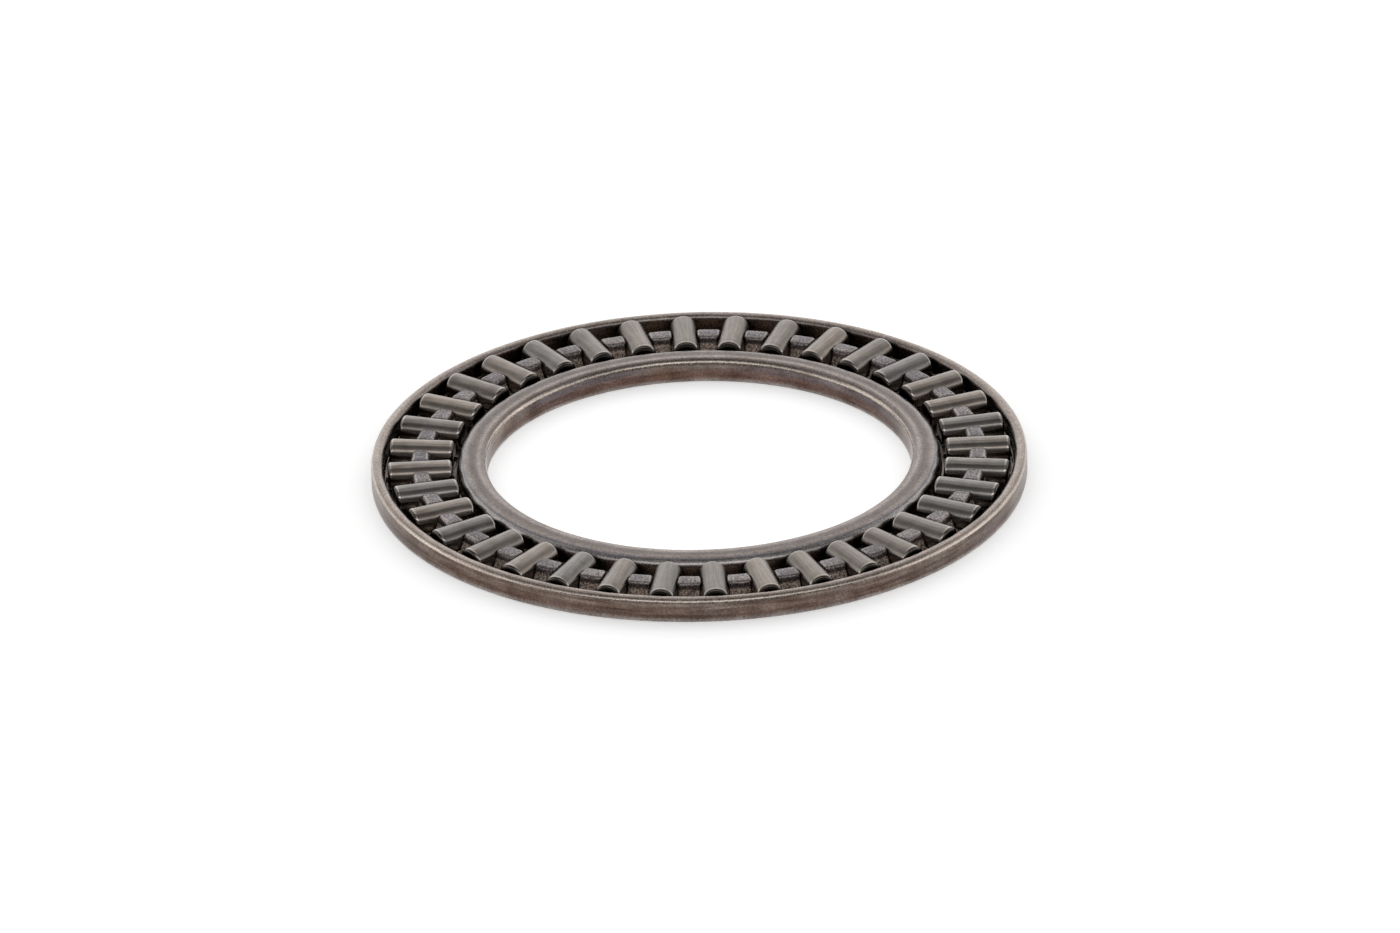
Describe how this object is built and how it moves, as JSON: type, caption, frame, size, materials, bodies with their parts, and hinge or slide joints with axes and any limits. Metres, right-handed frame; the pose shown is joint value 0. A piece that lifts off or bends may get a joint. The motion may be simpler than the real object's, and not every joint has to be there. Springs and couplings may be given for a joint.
{
  "type": "thrust needle roller bearing",
  "caption": "Thin ring of needle rollers set like spokes in the pockets of a folded sheet steel cage, to carry an axial load between two flat races.",
  "frame": {"origin": "on the bearing axis, in the plane of the face that the bearing lies on", "axes": "+Z along the bearing axis, away from the face it lies on, so the side with the raised rims is up; +X along the axis of roller_01"},
  "size_m": [0.0468, 0.0468, 0.002],
  "materials": {
    "cage_steel": "dull bronze-gray oxide on pressed sheet steel, satin on the rims",
    "roller_steel": "ground steel with fine lengthwise streaks and an oily sheen"
  },
  "bodies": {
    "cage": {"cage": "cage_steel"},
    "roller_01": {"roller_01": "roller_steel"},
    "roller_02": {"roller_02": "roller_steel"},
    "roller_03": {"roller_03": "roller_steel"},
    "roller_04": {"roller_04": "roller_steel"},
    "roller_05": {"roller_05": "roller_steel"},
    "roller_06": {"roller_06": "roller_steel"},
    "roller_07": {"roller_07": "roller_steel"},
    "roller_08": {"roller_08": "roller_steel"},
    "roller_09": {"roller_09": "roller_steel"},
    "roller_10": {"roller_10": "roller_steel"},
    "roller_11": {"roller_11": "roller_steel"},
    "roller_12": {"roller_12": "roller_steel"},
    "roller_13": {"roller_13": "roller_steel"},
    "roller_14": {"roller_14": "roller_steel"},
    "roller_15": {"roller_15": "roller_steel"},
    "roller_16": {"roller_16": "roller_steel"},
    "roller_17": {"roller_17": "roller_steel"},
    "roller_18": {"roller_18": "roller_steel"},
    "roller_19": {"roller_19": "roller_steel"},
    "roller_20": {"roller_20": "roller_steel"},
    "roller_21": {"roller_21": "roller_steel"},
    "roller_22": {"roller_22": "roller_steel"},
    "roller_23": {"roller_23": "roller_steel"},
    "roller_24": {"roller_24": "roller_steel"},
    "roller_25": {"roller_25": "roller_steel"},
    "roller_26": {"roller_26": "roller_steel"},
    "roller_27": {"roller_27": "roller_steel"},
    "roller_28": {"roller_28": "roller_steel"},
    "roller_29": {"roller_29": "roller_steel"},
    "roller_30": {"roller_30": "roller_steel"},
    "roller_31": {"roller_31": "roller_steel"},
    "roller_32": {"roller_32": "roller_steel"},
    "roller_33": {"roller_33": "roller_steel"},
    "roller_34": {"roller_34": "roller_steel"},
    "roller_35": {"roller_35": "roller_steel"},
    "roller_36": {"roller_36": "roller_steel"}
  },
  "joints": [
    {"name": "roller_01_spin", "type": "hinge", "parent": "cage", "child": "roller_01", "pos_m": [0.01993, 0, 0.001], "axis": [1, 0, 0], "continuous": true},
    {"name": "roller_02_spin", "type": "hinge", "parent": "cage", "child": "roller_02", "pos_m": [0.01963, 0.00346, 0.001], "axis": [0.9848, 0.1736, 0], "continuous": true},
    {"name": "roller_03_spin", "type": "hinge", "parent": "cage", "child": "roller_03", "pos_m": [0.01873, 0.00682, 0.001], "axis": [0.9397, 0.342, 0], "continuous": true},
    {"name": "roller_04_spin", "type": "hinge", "parent": "cage", "child": "roller_04", "pos_m": [0.01726, 0.00996, 0.001], "axis": [0.866, 0.5, 0], "continuous": true},
    {"name": "roller_05_spin", "type": "hinge", "parent": "cage", "child": "roller_05", "pos_m": [0.01527, 0.01281, 0.001], "axis": [0.766, 0.6428, 0], "continuous": true},
    {"name": "roller_06_spin", "type": "hinge", "parent": "cage", "child": "roller_06", "pos_m": [0.01281, 0.01527, 0.001], "axis": [0.6428, 0.766, 0], "continuous": true},
    {"name": "roller_07_spin", "type": "hinge", "parent": "cage", "child": "roller_07", "pos_m": [0.00996, 0.01726, 0.001], "axis": [0.5, 0.866, 0], "continuous": true},
    {"name": "roller_08_spin", "type": "hinge", "parent": "cage", "child": "roller_08", "pos_m": [0.00682, 0.01873, 0.001], "axis": [0.342, 0.9397, 0], "continuous": true},
    {"name": "roller_09_spin", "type": "hinge", "parent": "cage", "child": "roller_09", "pos_m": [0.00346, 0.01963, 0.001], "axis": [0.1736, 0.9848, 0], "continuous": true},
    {"name": "roller_10_spin", "type": "hinge", "parent": "cage", "child": "roller_10", "pos_m": [0, 0.01993, 0.001], "axis": [0, 1, 0], "continuous": true},
    {"name": "roller_11_spin", "type": "hinge", "parent": "cage", "child": "roller_11", "pos_m": [-0.00346, 0.01963, 0.001], "axis": [-0.1736, 0.9848, 0], "continuous": true},
    {"name": "roller_12_spin", "type": "hinge", "parent": "cage", "child": "roller_12", "pos_m": [-0.00682, 0.01873, 0.001], "axis": [-0.342, 0.9397, 0], "continuous": true},
    {"name": "roller_13_spin", "type": "hinge", "parent": "cage", "child": "roller_13", "pos_m": [-0.00996, 0.01726, 0.001], "axis": [-0.5, 0.866, 0], "continuous": true},
    {"name": "roller_14_spin", "type": "hinge", "parent": "cage", "child": "roller_14", "pos_m": [-0.01281, 0.01527, 0.001], "axis": [-0.6428, 0.766, 0], "continuous": true},
    {"name": "roller_15_spin", "type": "hinge", "parent": "cage", "child": "roller_15", "pos_m": [-0.01527, 0.01281, 0.001], "axis": [-0.766, 0.6428, 0], "continuous": true},
    {"name": "roller_16_spin", "type": "hinge", "parent": "cage", "child": "roller_16", "pos_m": [-0.01726, 0.00996, 0.001], "axis": [-0.866, 0.5, 0], "continuous": true},
    {"name": "roller_17_spin", "type": "hinge", "parent": "cage", "child": "roller_17", "pos_m": [-0.01873, 0.00682, 0.001], "axis": [-0.9397, 0.342, 0], "continuous": true},
    {"name": "roller_18_spin", "type": "hinge", "parent": "cage", "child": "roller_18", "pos_m": [-0.01963, 0.00346, 0.001], "axis": [-0.9848, 0.1736, 0], "continuous": true},
    {"name": "roller_19_spin", "type": "hinge", "parent": "cage", "child": "roller_19", "pos_m": [-0.01993, 0, 0.001], "axis": [-1, 0, 0], "continuous": true},
    {"name": "roller_20_spin", "type": "hinge", "parent": "cage", "child": "roller_20", "pos_m": [-0.01963, -0.00346, 0.001], "axis": [-0.9848, -0.1736, 0], "continuous": true},
    {"name": "roller_21_spin", "type": "hinge", "parent": "cage", "child": "roller_21", "pos_m": [-0.01873, -0.00682, 0.001], "axis": [-0.9397, -0.342, 0], "continuous": true},
    {"name": "roller_22_spin", "type": "hinge", "parent": "cage", "child": "roller_22", "pos_m": [-0.01726, -0.00996, 0.001], "axis": [-0.866, -0.5, 0], "continuous": true},
    {"name": "roller_23_spin", "type": "hinge", "parent": "cage", "child": "roller_23", "pos_m": [-0.01527, -0.01281, 0.001], "axis": [-0.766, -0.6428, 0], "continuous": true},
    {"name": "roller_24_spin", "type": "hinge", "parent": "cage", "child": "roller_24", "pos_m": [-0.01281, -0.01527, 0.001], "axis": [-0.6428, -0.766, 0], "continuous": true},
    {"name": "roller_25_spin", "type": "hinge", "parent": "cage", "child": "roller_25", "pos_m": [-0.00996, -0.01726, 0.001], "axis": [-0.5, -0.866, 0], "continuous": true},
    {"name": "roller_26_spin", "type": "hinge", "parent": "cage", "child": "roller_26", "pos_m": [-0.00682, -0.01873, 0.001], "axis": [-0.342, -0.9397, 0], "continuous": true},
    {"name": "roller_27_spin", "type": "hinge", "parent": "cage", "child": "roller_27", "pos_m": [-0.00346, -0.01963, 0.001], "axis": [-0.1736, -0.9848, 0], "continuous": true},
    {"name": "roller_28_spin", "type": "hinge", "parent": "cage", "child": "roller_28", "pos_m": [0, -0.01993, 0.001], "axis": [0, -1, 0], "continuous": true},
    {"name": "roller_29_spin", "type": "hinge", "parent": "cage", "child": "roller_29", "pos_m": [0.00346, -0.01963, 0.001], "axis": [0.1736, -0.9848, 0], "continuous": true},
    {"name": "roller_30_spin", "type": "hinge", "parent": "cage", "child": "roller_30", "pos_m": [0.00682, -0.01873, 0.001], "axis": [0.342, -0.9397, 0], "continuous": true},
    {"name": "roller_31_spin", "type": "hinge", "parent": "cage", "child": "roller_31", "pos_m": [0.00996, -0.01726, 0.001], "axis": [0.5, -0.866, 0], "continuous": true},
    {"name": "roller_32_spin", "type": "hinge", "parent": "cage", "child": "roller_32", "pos_m": [0.01281, -0.01527, 0.001], "axis": [0.6428, -0.766, 0], "continuous": true},
    {"name": "roller_33_spin", "type": "hinge", "parent": "cage", "child": "roller_33", "pos_m": [0.01527, -0.01281, 0.001], "axis": [0.766, -0.6428, 0], "continuous": true},
    {"name": "roller_34_spin", "type": "hinge", "parent": "cage", "child": "roller_34", "pos_m": [0.01726, -0.00996, 0.001], "axis": [0.866, -0.5, 0], "continuous": true},
    {"name": "roller_35_spin", "type": "hinge", "parent": "cage", "child": "roller_35", "pos_m": [0.01873, -0.00682, 0.001], "axis": [0.9397, -0.342, 0], "continuous": true},
    {"name": "roller_36_spin", "type": "hinge", "parent": "cage", "child": "roller_36", "pos_m": [0.01963, -0.00346, 0.001], "axis": [0.9848, -0.1736, 0], "continuous": true}
  ]
}
